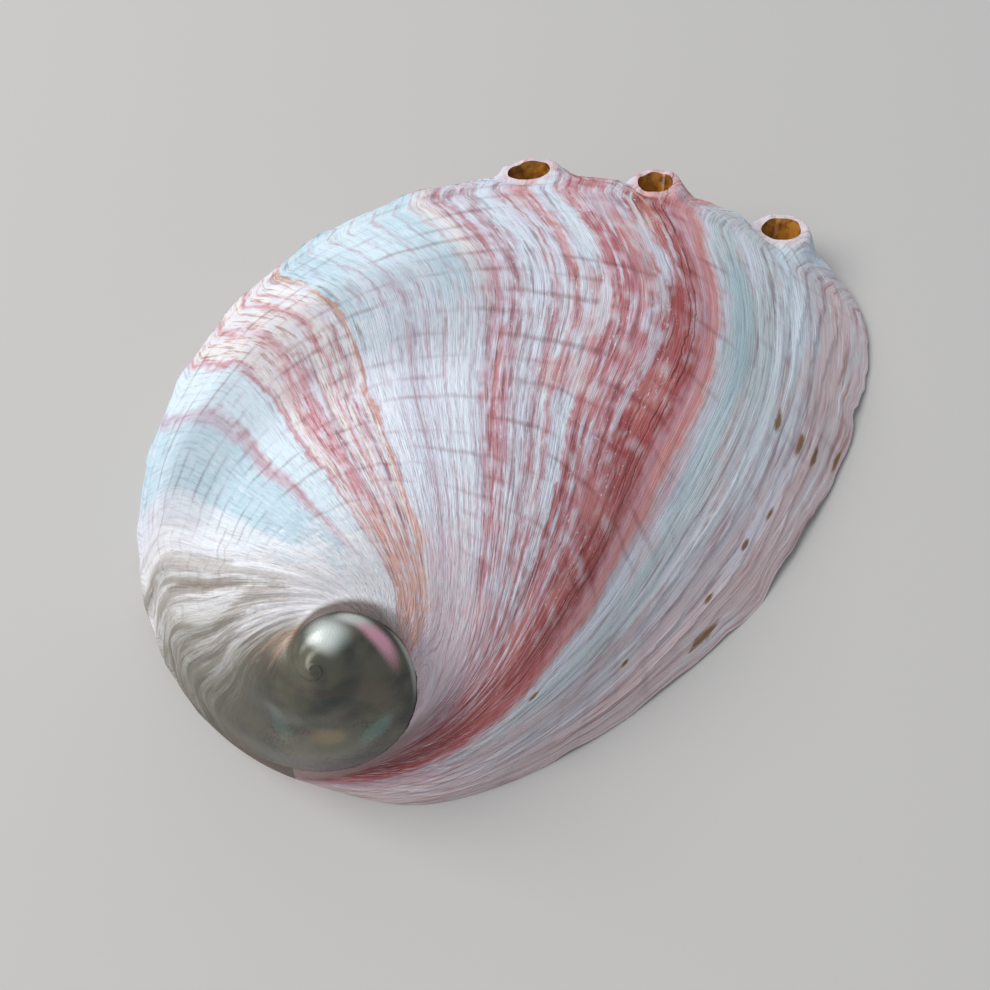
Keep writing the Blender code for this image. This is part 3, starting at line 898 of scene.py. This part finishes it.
# Spots: place, coiling, half width in place and in coiling, raggedness, colour, strength
SPOTS = (
    (0.76, -0.385, 0.12, 0.050, 1.0, "teal", 0.70),
    (0.62, -0.395, 0.13, 0.035, 0.8, "teal", 0.40),
    (0.55, -0.430, 0.08, 0.020, 0.8, "rose", 0.35),
    (0.67, -0.270, 0.22, 0.022, 1.0, "white", 0.75),
    (0.80, -0.215, 0.10, 0.020, 1.0, "white", 0.60),
    (0.52, -0.300, 0.10, 0.018, 1.0, "white", 0.50),
    (0.775, -0.612, 0.040, 0.035, 1.0, "lilac_white", 0.95),
    (0.815, -0.635, 0.050, 0.022, 0.8, "lilac_white", 0.85),
    (0.735, -0.640, 0.030, 0.016, 1.2, "lilac_white", 0.70),
    (0.660, -0.640, 0.050, 0.016, 1.2, "lilac_white", 0.55),
    (0.590, -0.655, 0.060, 0.014, 1.2, "lilac_white", 0.55),
    (0.860, -0.630, 0.070, 0.010, 0.6, "cream", 0.60),
    (0.900, -0.585, 0.050, 0.008, 0.5, "orange", 0.80),
    (0.855, -0.612, 0.050, 0.006, 0.5, "orange", 0.65),
    (0.800, -0.800, 0.070, 0.030, 1.0, "white", 0.60),
    (0.690, -0.790, 0.060, 0.022, 1.0, "white", 0.60),
    (0.86, -0.72, 0.05, 0.05, 0.8, "lilac_white", 0.45),
    (0.76, -0.690, 0.030, 0.045, 0.8, "deep_rose", 0.60),
    (0.93, -0.500, 0.040, 0.060, 0.8, "salmon", 0.50),
    (0.735, -0.590, 0.060, 0.030, 0.8, "red", 0.60),
    (0.62, -0.145, 0.08, 0.030, 1.3, "lilac_white", 0.55),
    (0.78, -0.120, 0.08, 0.030, 1.3, "pink_beige", 0.60),
    (0.50, -0.190, 0.07, 0.030, 1.3, "pink_beige", 0.60),
    (0.86, -0.330, 0.07, 0.040, 1.3, "lilac_white", 0.60),
    (0.692, -0.225, 0.014, 0.014, 1.1, "stain", 0.95),
    (0.694, -0.140, 0.013, 0.014, 1.1, "stain", 0.95),
    (0.700, -0.083, 0.013, 0.010, 1.1, "stain", 0.95),
    (0.718, -0.016, 0.013, 0.011, 1.1, "stain", 0.95),
    (0.629, -0.131, 0.008, 0.009, 1.1, "stain", 0.95),
    (0.596, -0.151, 0.007, 0.009, 1.1, "stain", 0.95),
    (0.537, -0.055, 0.018, 0.018, 1.3, "stain", 0.95),
    (0.548, -0.137, 0.007, 0.008, 1.1, "stain", 0.95),
    (0.457, -0.201, 0.005, 0.009, 1.1, "stain", 0.95),
    (0.334, -0.381, 0.009, 0.009, 1.1, "stain", 0.95),
)
# Pearly tints of the spire, as the spots. The pale spots are painted highlights on the spire; the
# pink one is partly pink pearl and partly a painted highlight.
SPIRE_TINTS = (
    (0.62, -7.50, 0.34, 0.80, 0.1, "pearl_pale_and_highlight", 0.95),
    (0.84, -6.85, 0.10, 0.50, 0.2, "pearl_pale_and_highlight", 0.75),
    (0.79, -6.35, 0.095, 0.62, 0.3, "pearl_pink_and_highlight", 0.90),
    (0.92, -5.75, 0.06, 0.60, 0.4, "pearl_pale_and_highlight", 0.45),
    (0.68, -4.60, 0.14, 0.75, 1.1, "pearl_grey", 0.40),
    (0.74, -5.05, 0.07, 0.30, 1.1, "pearl_teal", 0.22),
    (0.62, -4.62, 0.06, 0.28, 1.1, "pearl_gold", 0.28),
    (0.55, -4.10, 0.14, 0.14, 1.1, "pearl_teal", 0.12),
    (0.40, -5.75, 0.16, 0.50, 1.1, "dark_olive", 0.75),
)
# Zones of growth: the coiling where each fades in, from nothing to full, at either end
NEWEST = (-0.50, -0.38)
ROSE_ZONE = ((-1.95, -1.80), (-0.50, -0.60))
PALE_ZONE = ((-1.50, -1.42), (-1.05, -1.15))   # in the middle of the rose zone
OLD_FOLDS = (-2.35, -2.8)
SUTURE_ZONE = (-1.7, -2.5)
DARK_SPIRE = (-3.7, -4.2)
SPIRE_GLOSS = (-3.5, -4.1)
SPIRE_SMOOTH = (-3.1, -3.9)
STOPS_PER_RAMP = 12
LINE_CORE = 0.2          # share of a line's half width where it is at full strength
CUT_COLOUR = "dark_red"  # lines of this colour are cut into the surface
TEETH_PER_CORD = 1.2     # teeth of the band edges


class Finish(Net):
    """A material as it is built, with the colour that its steps work on."""

    def __init__(self, name, colours):
        self.material = bpy.data.materials.new(name)
        self.material.use_nodes = True
        super().__init__(self.material.node_tree)
        self.surface = self.tree.nodes["Principled BSDF"]
        self.colours = colours
        self.colour = None

    def named(self, name):
        return (*getattr(self.colours, name), 1)

    def paint(self, amount, name):
        """Lays a share of a named colour over the colour so far."""
        self.colour = self.mix(amount, self.colour, self.named(name))

    def tint(self, amount, name):
        """Darkens a share of the colour so far by a named tint."""
        shaded = self.mix(1.0, self.colour, self.named(name), "MULTIPLY")
        self.colour = self.mix(amount, self.colour, shaded)

    def end(self, height, distance, **inputs):
        """The material, with its colour and a relief of so many millimetres."""
        bump = self.add("ShaderNodeBump", Height=height, Distance=distance * MM)
        self.fill(self.surface, Base_Color=self.colour, Normal=bump.outputs[0], **inputs)
        return self.material


class OutsideFinish(Finish):
    """Banded, corded outside that is worn to dark pearl on the spire."""

    def __init__(self, colours, groups):
        super().__init__("banded shell", colours)
        self.groups = groups
        self.place, self.coiling = self.uv("growth")
        self.corded, self.time = self.uv("bands")
        self.pit, self.rim = self.uv("holes")
        self.broad = self.noise(self.corded, self.time, 12, 9)
        self.small = self.noise(self.corded, self.time, 75, 30)
        self.fine = self.noise(self.corded, self.time, 7, 330, roughness=0.6)
        self.streak = self.noise(self.corded, self.time, 13, 62, 3, 0.65)
        self.cloud = self.noise(self.corded, self.time, 16, 38, 3, 0.6)
        self.folds = self.noise(self.place, self.coiling, 2.5, 14, 3, 0.6)
        self.fresh = self.by_age(*NEWEST)
        rose, pale = [self.times(*[self.by_time(*limits) for limits in zone])
                      for zone in (ROSE_ZONE, PALE_ZONE)]
        self.rosy = self.times(rose, self.minus(1.0, pale))

    def uv(self, name):
        read = self.tree.nodes.new("ShaderNodeUVMap")
        read.uv_map = name
        return self.add("ShaderNodeSeparateXYZ", Vector=read.outputs[0]).outputs[:2]

    def by_place(self, *limits):
        return self.between(self.place, *limits)

    def by_age(self, *limits):
        return self.between(self.coiling, *limits)

    def by_time(self, *limits):
        return self.between(self.time, *limits)

    def bands(self, time, stops):
        """One colour from a long row of bands, as ramps that follow each other."""
        colour = None
        for first in range(0, len(stops) - 1, STOPS_PER_RAMP - 1):
            part = stops[first:first + STOPS_PER_RAMP][::-1]
            low, high = part[0][0], part[-1][0]
            share = self.add("ShaderNodeMapRange", Value=time, From_Min=low, From_Max=high)
            shown = self.ramp(share.outputs["Result"], [
                ((at - low) / (high - low), self.named(name)) for at, name in part])
            older = self.math("LESS_THAN", time, high)
            colour = shown if colour is None else self.mix(older, colour, shown)
        return colour

    def add_bands(self):
        """Bands whose edges waver, and end in teeth along the cords."""
        teeth = self.noise(self.corded, self.time, TEETH_PER_CORD / CORD_STEP, 5)
        ragged = self.plus(self.time, self.centred(self.broad, 0.05),
                           self.centred(self.small, 0.022), self.centred(teeth, 0.035))
        patchy = self.plus(self.place, self.centred(self.broad, 0.30),
                           self.centred(self.small, 0.16))
        high, middle, low = [
            self.bands(ragged, stops) for stops in (HIGH_BANDS, MIDDLE_BANDS, LOW_BANDS)]
        colour = self.mix(self.between(patchy, 0.60, 0.80), middle, high)
        self.colour = self.mix(self.between(patchy, 0.42, 0.18), colour, low)

    def add_streaks(self):
        """Pale and dark streaks along the growth lines, strongest in the rose bands."""
        rosy_share = self.plus(0.35, self.times(self.rosy, 0.65))
        share = self.math("MAXIMUM", rosy_share, self.times(self.fresh, 0.9))
        self.tint(self.times(self.between(self.streak, 0.52, 0.30), share), "streak")
        patch = self.plus(self.times(self.streak, 0.55), self.times(self.cloud, 0.45))
        red = self.times(self.by_time(-0.74, -0.62), self.by_place(0.80, 0.60), 0.8)
        pale = self.times(self.between(patch, 0.48, 0.64), rosy_share, self.minus(1.0, red))
        self.paint(self.times(pale, 0.85), "lilac_white")
        warm = self.noise(self.time, self.corded, 7, 9, roughness=0.65)
        self.paint(self.times(self.between(warm, 0.52, 0.68), self.rosy,
                              self.by_time(-0.98, -0.88), 0.5), "salmon")

    def add_newest(self):
        """Mottled newest growth, with painted white highlights along its frilly edges."""
        mottle = self.noise(self.place, self.coiling, 9, 13, 3, 0.7)
        self.paint(self.times(self.between(mottle, 0.52, 0.68), self.fresh, 0.55), "pink_beige")
        upper = self.plus(0.3, self.times(self.by_place(0.4, 0.7), 0.7))
        self.paint(self.times(self.between(mottle, 0.46, 0.32), self.fresh, upper, 0.50),
                   "grey_turquoise")
        # Painted highlights: white along the frilly edges of the newest growth
        frill_highlight = self.noise(self.place, self.coiling, 10, 85, 3, 0.7)
        self.paint(self.times(self.between(frill_highlight, 0.55, 0.66), self.between(self.cloud, 0.35, 0.60),
                              self.fresh, 0.60), "white")
        self.paint(self.times(self.between(self.fine, 0.52, 0.75), 0.22), "white")

    def add_cords(self):
        """Soft broken grooves, with pale lumps between them that make a check pattern."""
        phase = self.math("DIVIDE", self.corded, CORD_STEP)
        gap = self.math("ABSOLUTE", self.minus(phase, self.math("ROUND", phase)))
        strength = self.noise(phase, self.time, 0.9, 4, roughness=0.6)
        self.groove = self.times(
            self.between(gap, 0.20, 0.0), self.between(strength, 0.38, 0.72),
            self.by_place(0.15, 0.55), self.by_place(1.0, 0.85),
            self.plus(0.35, self.times(self.by_age(-0.30, -0.55), 0.65)),
            self.by_age(-3.2, -2.2))
        self.tint(self.times(self.groove, 0.70), "groove")
        lump = self.noise(phase, self.time, 1.0, 34, 1)
        self.lumps = self.times(
            self.between(lump, 0.42, 0.75), self.between(gap, 0.05, 0.45),
            self.by_age(-0.45, -0.60), self.by_age(-2.6, -2.2))
        self.paint(self.times(self.lumps, 0.34), "white")

    def add_flecks(self):
        """Small white flecks in the rose bands."""
        fleck = self.noise(self.corded, self.time, 150, 120)
        self.paint(self.times(self.between(fleck, 0.64, 0.72), self.between(self.cloud, 0.45, 0.60),
                              self.rosy, 0.55), "white")

    def add_lines(self):
        """Thin broken lines along the growth lines, some of them cut in."""
        time = self.plus(self.time, self.centred(self.broad, 0.045),
                         self.centred(self.small, 0.012))
        broken = self.between(self.noise(self.corded, self.time, 22, 6, roughness=0.6), 0.32, 0.55)
        plain = self.colour
        cuts = 0.0
        for at, width, name, strength in LINES:
            mask = self.group(self.groups["mark"], Time=time, At=at, Width=width,
                              Strength=strength)
            self.paint(mask, name)
            if name == CUT_COLOUR:
                cuts = self.math("MAXIMUM", cuts, mask)
        self.cuts = self.times(cuts, broken)
        self.colour = self.mix(broken, plain, self.colour)

    def add_spots(self, rough, spots):
        for at_place, at_time, wide, long, raggedness, name, strength in spots:
            mask = self.group(
                self.groups["spot"], Place=self.place, Time=self.coiling, At_Place=at_place,
                At_Time=at_time, Wide=wide, Long=long, Ragged=raggedness, Rough=rough,
                Strength=strength)
            self.paint(mask, name)

    def add_shades(self):
        """Rims and pits of the holes, painted shade at the foot of the spire and painted shade in
        the furrow under the holes.
        """
        self.paint(self.times(self.rim, 0.55), "rim")
        self.paint(self.times(self.pit, 0.7), "pit")
        self.paint(self.times(self.by_place(0.13, 0.05), self.by_age(-1.0, -0.6), 0.85), "shade")
        # Painted shade: a darker band along the shallow furrow under the holes
        self.tint(self.times(self.by_place(0.56, 0.64), self.by_place(0.80, 0.72),
                             self.by_age(-0.95, -1.2), self.by_age(-2.7, -2.3)), "furrow_shade")

    def add_old_growth(self):
        """White folds with olive-brown valleys, and the brown suture."""
        self.tint(self.times(self.between(self.folds, 0.56, 0.42), self.by_age(*OLD_FOLDS),
                             self.by_place(0.08, 0.35), 0.6), "valley")
        self.paint(self.times(self.by_place(0.115, 0.070), self.by_age(*SUTURE_ZONE), 0.85),
                   "dark_brown")

    def add_spire(self, rough):
        """Dark worn pearl with painted highlights, which starts on the last whorl along an uneven
        edge.
        """
        age = self.plus(
            self.minus(self.coiling, self.times(self.minus(self.place, 0.45), 0.8)),
            self.centred(self.folds, 0.9), self.times(self.by_place(0.38, 0.12), 0.40))
        worn = self.math("MAXIMUM", self.between(age, -2.98, -3.85), self.by_age(*DARK_SPIRE))
        banded = self.colour
        clouds = self.between(self.grain(260, 4), 0.36, 0.64)
        self.colour = self.mix(clouds, self.named("dark_olive"), self.named("olive"))
        self.paint(self.by_age(-4.3, -3.3), "old_olive")
        # Pearly tints, among them the painted highlights in pale and pink on the spire
        self.add_spots(rough, SPIRE_TINTS)
        pearl = self.group(self.groups["pearl"], Scale=1.0)
        self.colour = self.mix(worn, banded, self.mix(0.05, self.colour, pearl))

    def build(self):
        """The whole material, from the bands to the spots, the spire and the gloss."""
        self.add_bands()
        self.add_streaks()
        self.add_newest()
        self.add_cords()
        self.add_flecks()
        self.add_lines()
        rough = self.noise(self.place, self.coiling, 60, 60, 3, 0.65)
        self.add_spots(rough, SPOTS)
        self.add_shades()
        self.add_old_growth()
        self.add_spire(rough)

        spire = self.by_age(*SPIRE_GLOSS)
        dull = self.plus(0.34, self.times(self.streak, 0.24))
        bumps = self.plus(
            self.times(self.fine, 0.20), self.times(self.streak, 0.60),
            self.times(self.lumps, 0.25), self.times(self.groove, -0.35),
            self.times(self.cuts, -0.8), self.times(self.small, 0.25))
        height = self.times(bumps, self.minus(1.0, self.by_age(*SPIRE_SMOOTH, 0.93)))
        return self.end(height, 0.22, Metallic=self.times(spire, 0.25),
                        Roughness=self.minus(dull, self.times(spire, 0.20)))


def inside_finish(colours, groups):
    """Pearly inside."""
    finish = Finish("nacre", colours)
    pearl = finish.group(groups["pearl"], Scale=0.8)
    ripples = finish.grain(160, 3)
    finish.colour = finish.mix(0.35, pearl, finish.named("pearl_pale_and_highlight"))
    shade = finish.ramp(ripples, ((0.3, (0.8, 0.8, 0.8)), (0.7, (1, 1, 1))))
    finish.colour = finish.mix(1.0, finish.colour, shade, "MULTIPLY")
    return finish.end(ripples, 0.4, Metallic=0.45, Roughness=0.24)


def lining_finish(colours):
    """Amber-brown lining of the holes."""
    finish = Finish("hole lining", colours)
    bumps = finish.grain(900, 3)
    finish.colour = finish.ramp(bumps, ((0.35, colours.lining_dark), (0.6, colours.lining)))
    return finish.end(bumps, 0.1, Roughness=0.35)


# ---------------------------------------------------------------- settings

def size_setting(name, value, description):
    return bpy.props.FloatProperty(name=name, default=value, min=0, description=description)


def colour_setting(name, code, description):
    return bpy.props.FloatVectorProperty(
        name=name, default=linear(code), size=3, min=0, max=1, subtype="COLOR",
        description=description)


class ShellSizes(bpy.types.PropertyGroup):
    """Sizes of the relief in millimetres, for a shell of full size."""
    chip_depth: size_setting("Chip depth", 0.022, "Wear of the lip, in radians of coiling")
    chip_reach: size_setting("Chip reach", 0.10, "Coiling over which the wear fades out")
    cord_depth: size_setting("Cord depth", 0.09, "Grooves between the spiral cords, mm")
    deep_cord: size_setting("Deep cord", 0.22, "The deepest groove between cords, mm")
    groove_depth: size_setting("Groove depth", 0.35, "Long shallow groove by the holes, mm")
    ridge_depth: size_setting("Ridge depth", 0.075, "Fine ridges along growth lines, mm")
    fold_depth: size_setting("Fold depth", 0.14, "Broad folds along growth lines, mm")
    frill_height: size_setting("Frill height", 0.30, "Frilly ridges near the lip, mm")
    old_fold: size_setting("Old folds", 0.42, "Folds that spread from the spire, mm")
    rim_radius: size_setting("Rim radius", 2.4, "Top of the rim of an open hole, mm")
    rim_slope: size_setting("Rim slope", 1.6, "Width of the outer slope of a rim, mm")
    rim_height: size_setting("Rim height", 0.6, "Rise of the rim of an open hole, mm")
    rim_wear: size_setting("Rim wear", 0.22, "Unevenness of a rim, mm")
    knob_height: size_setting("Knob height", 0.9, "Knobs of the closed holes, mm")
    knob_radius: size_setting("Knob radius", 2.4, "Radius of these knobs, mm")
    pit_depth: size_setting("Pit depth", 0.5, "Pits in the closed holes, mm")
    hole_radius: size_setting("Hole radius", 1.85, "Radius of an open hole, mm")
    drill_top: size_setting("Drill top", 4.0, "Height of a drill above the shoulder, mm")
    drill_depth: size_setting("Drill depth", 4.5, "Depth of a drill under the shoulder, mm")


class ShellColours(bpy.types.PropertyGroup):
    """Colours of the bands and of the other finishes."""
    white: colour_setting("White", "dde4ea", "Cool white bands")
    ivory: colour_setting("Ivory", "e4e2e2", "Warm white bands")
    cream: colour_setting("Cream", "e2dad6", "Cream stripes among the rose")
    turquoise: colour_setting("Turquoise", "b8d0da", "Strong turquoise bands")
    pale_turquoise: colour_setting("Pale turquoise", "d0e0e8", "Pale turquoise bands")
    grey_turquoise: colour_setting("Grey turquoise", "bfcacc", "Dull turquoise near the lip")
    lilac_white: colour_setting("Lilac white", "d2d3de", "White with a lilac cast")
    lilac: colour_setting("Lilac", "bdb0bd", "Lilac towards the suture")
    grey_lilac: colour_setting("Grey lilac", "bfb7bd", "Greyish lilac near the lip")
    # Lighter copies of colours for the bands near the suture: partly their own paler colour, partly
    # painted light against the shade on that side
    low_white: colour_setting("Low white", "f2eff0", "White towards the suture")
    low_lilac: colour_setting("Low lilac", "e2cacf", "Lilac towards the suture")
    low_mauve: colour_setting("Low mauve", "d3a9ae", "Mauve towards the suture")
    low_salmon: colour_setting("Low salmon", "e6b3a2", "Salmon towards the suture")
    mauve: colour_setting("Mauve", "b8939c", "Mauve stripes")
    rose: colour_setting("Rose", "ca8d94", "Rose bands")
    deep_rose: colour_setting("Deep rose", "b56669", "Strong rose bands")
    red: colour_setting("Red", "a94a48", "The red band")
    dark_red: colour_setting("Dark red", "7a403c", "Incised lines in the red band")
    salmon: colour_setting("Salmon", "cd857e", "Salmon edges of the red band")
    orange: colour_setting("Orange", "c49a82", "Orange-brown lines")
    pink_beige: colour_setting("Pink beige", "cbb3b2", "The newest growth")
    grey_beige: colour_setting("Grey beige", "a8a398", "Old growth by the spire")
    olive: colour_setting("Olive", "554c3a", "Worn pearl of the spire")
    dark_olive: colour_setting("Dark olive", "231d15", "Darker worn pearl")
    old_olive: colour_setting("Old olive", "5a5140", "The worn body beside the spire")
    brown: colour_setting("Brown", "8a6a4c", "Brown lines")
    dark_brown: colour_setting("Dark brown", "54382a", "The suture line")
    teal: colour_setting("Teal", "a3bec4", "Teal patches near the lip")
    streak: colour_setting("Streak", "cdb2b6", "Tint of the dark growth streaks")
    shade: colour_setting("Shade", "a58c88", "Grey brown under the spire")
    # Painted shade, laid along the furrow under the holes
    furrow_shade: colour_setting("Furrow", "dedede", "Tint of the furrow under the holes")
    valley: colour_setting("Valley", "9c8a78", "Tint between the old folds")
    groove: colour_setting("Groove", "cbb4b4", "Tint of the grooves between cords")
    rim: colour_setting("Rim", "dcc2c4", "Pink rims of the holes")
    pit: colour_setting("Pit", "8a6248", "Pits of the closed holes")
    stain: colour_setting("Stain", "7c5527", "Brown stains")
    lining: colour_setting("Lining", "b0742c", "Lining of the open holes")
    lining_dark: colour_setting("Dark lining", "6a3c12", "Darker lining")
    # Pale and pink pearl, also the colours of the painted highlights on the spire
    pearl_pale_and_highlight: colour_setting("Pale pearl", "d8dcd4", "Pale pearl")
    pearl_pink_and_highlight: colour_setting("Pink pearl", "e3a0b2", "Pink pearl")
    pearl_teal: colour_setting("Teal pearl", "8cc0b8", "Green-blue pearl")
    pearl_grey: colour_setting("Grey pearl", "88826e", "Grey pearl")
    pearl_gold: colour_setting("Golden pearl", "a89a5c", "Golden pearl")


class StageSettings(bpy.types.PropertyGroup):
    """Floor and light."""
    floor_size: bpy.props.FloatProperty(
        name="Floor size", default=3.0, unit="LENGTH", description="Side of the square floor")
    floor: colour_setting("Floor", "b9b5b1", "Colour of the plain floor")
    sky: colour_setting("Fill", "cdd6e0", "Colour of the light from all round")
    sky_strength: size_setting("Fill strength", 0.66, "Strength of the light from all round")
    window_power: bpy.props.FloatProperty(
        name="Window power", default=8.6, unit="POWER", description="Power of the large soft light")
    window_size: bpy.props.FloatProperty(
        name="Window size", default=0.7, unit="LENGTH", description="Side of the large soft light")
    window_distance: bpy.props.FloatProperty(
        name="Window distance", default=0.9, unit="LENGTH", description="Distance of the light")
    window_azimuth: bpy.props.FloatProperty(
        name="Window azimuth", default=math.radians(132), subtype="ANGLE",
        description="Direction of the light from +X")
    window_height: bpy.props.FloatProperty(
        name="Window height", default=math.radians(52), subtype="ANGLE",
        description="Height of the light above the floor")


# ---------------------------------------------------------------- stage

# The camera of the photograph
CAMERA_AT = (-0.04487, -0.05330, 0.11655)
CAMERA_HEADING = math.radians(37.3)
CAMERA_PITCH = math.radians(60.70)
CAMERA_ROLL = math.radians(-3.689)
PHOTO_SIDE = 990
FOCAL_PIXELS = 1215.76
PHOTO_MIDDLE = (492.37, 490.56)
SENSOR = 36.0


def camera_matrix():
    right = Vector((math.cos(CAMERA_HEADING), -math.sin(CAMERA_HEADING), 0))
    level = math.cos(CAMERA_PITCH)
    ahead = Vector((level * math.sin(CAMERA_HEADING), level * math.cos(CAMERA_HEADING),
                    -math.sin(CAMERA_PITCH)))
    up = right.cross(ahead)
    x = right * math.cos(CAMERA_ROLL) + up * math.sin(CAMERA_ROLL)
    y = up * math.cos(CAMERA_ROLL) - right * math.sin(CAMERA_ROLL)
    turn = Matrix((x, y, -ahead)).transposed().to_4x4()
    turn.translation = CAMERA_AT
    return turn


def add_camera():
    bpy.ops.object.camera_add()
    camera = bpy.context.object
    camera.name = "camera"
    camera.matrix_world = camera_matrix()
    camera.data.sensor_width = SENSOR
    camera.data.lens = SENSOR * FOCAL_PIXELS / PHOTO_SIDE
    camera.data.shift_x = (PHOTO_SIDE / 2 - PHOTO_MIDDLE[0]) / PHOTO_SIDE
    camera.data.shift_y = (PHOTO_MIDDLE[1] - PHOTO_SIDE / 2) / PHOTO_SIDE
    camera.data.clip_start = 0.005
    bpy.context.scene.camera = camera


def add_window(stage):
    level = math.cos(stage.window_height)
    way = Vector((level * math.cos(stage.window_azimuth), level * math.sin(stage.window_azimuth),
                  math.sin(stage.window_height)))
    bpy.ops.object.light_add(type="AREA", location=way * stage.window_distance)
    window = bpy.context.object
    window.name = "window"
    window.rotation_euler = way.to_track_quat("Z", "Y").to_euler()
    window.data.size = stage.window_size
    window.data.energy = stage.window_power


def add_fill(stage):
    world = bpy.data.worlds.new("fill")
    world.use_nodes = True
    light = world.node_tree.nodes["Background"]
    light.inputs["Color"].default_value = (*stage.sky, 1)
    light.inputs["Strength"].default_value = stage.sky_strength
    bpy.context.scene.world = world


def add_floor(stage):
    bpy.ops.mesh.primitive_plane_add(size=stage.floor_size)
    floor = bpy.context.object
    floor.name = "floor"
    finish = bpy.data.materials.new("floor")
    finish.use_nodes = True
    surface = finish.node_tree.nodes["Principled BSDF"]
    surface.inputs["Base Color"].default_value = (*stage.floor, 1)
    surface.inputs["Roughness"].default_value = 0.9
    floor.data.materials.append(finish)


# ---------------------------------------------------------------- operators

class ABALONE_OT_shell(bpy.types.Operator):
    """Builds the shell with its cords, ridges, bands and holes in place of the plain solid"""
    bl_idname = "abalone.shell"
    bl_label = "Shell"
    bl_options = {"REGISTER", "UNDO"}

    def execute(self, context):
        scene = context.scene
        sizes, colours = scene.abalone_sizes, scene.abalone_colours
        groups = {"mark": line_group(), "spot": spot_group(), "pearl": pearl_group(colours)}
        materials = (OutsideFinish(colours, groups).build(), inside_finish(colours, groups),
                     lining_finish(colours))
        shell = shell_piece("abalone_shell", sizes, materials)
        cut(shell, hole_drills(sizes, materials))
        if not shell.data.polygons:
            raise RuntimeError("the shell has no faces after its holes were cut")
        shell.data.shade_smooth()
        shell.data.set_sharp_from_angle(angle=SHARP_ANGLE)
        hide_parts(NODE)
        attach(shell, "root")
        return {"FINISHED"}


class ABALONE_OT_stage(bpy.types.Operator):
    """Adds the plain floor, the soft window light and the camera"""
    bl_idname = "abalone.stage"
    bl_label = "Stage"
    bl_options = {"REGISTER", "UNDO"}

    def execute(self, context):
        stage = context.scene.abalone_stage
        bpy.ops.object.select_all(action="DESELECT")
        add_floor(stage)
        add_window(stage)
        add_fill(stage)
        add_camera()
        context.scene.view_settings.view_transform = "Standard"
        return {"FINISHED"}


class ABALONE_PT_panel(bpy.types.Panel):
    """Sizes, colours and the steps that build the shell"""
    bl_idname = "ABALONE_PT_panel"
    bl_label = "Abalone shell"
    bl_space_type = "VIEW_3D"
    bl_region_type = "UI"
    bl_category = "Shell"

    def draw(self, context):
        scene = context.scene
        for title, step, settings in (
                ("Shell", "abalone.shell", (scene.abalone_sizes, scene.abalone_colours)),
                ("Stage", "abalone.stage", (scene.abalone_stage,))):
            box = self.layout.box()
            box.label(text=title)
            for group in settings:
                for key in group.__annotations__:
                    box.prop(group, key)
            box.operator(step)


CLASSES = (ShellSizes, ShellColours, StageSettings, ABALONE_OT_shell, ABALONE_OT_stage,
           ABALONE_PT_panel)


def register():
    for item in CLASSES:
        bpy.utils.register_class(item)
    for key, group in (("abalone_sizes", ShellSizes), ("abalone_colours", ShellColours),
                       ("abalone_stage", StageSettings)):
        setattr(bpy.types.Scene, key, bpy.props.PointerProperty(type=group))


def unregister():
    for key in ("abalone_sizes", "abalone_colours", "abalone_stage"):
        delattr(bpy.types.Scene, key)
    for item in reversed(CLASSES):
        bpy.utils.unregister_class(item)


def main():
    register()
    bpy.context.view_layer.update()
    bpy.ops.abalone.shell()
    bpy.ops.abalone.stage()


if __name__ == "__main__":
    main()
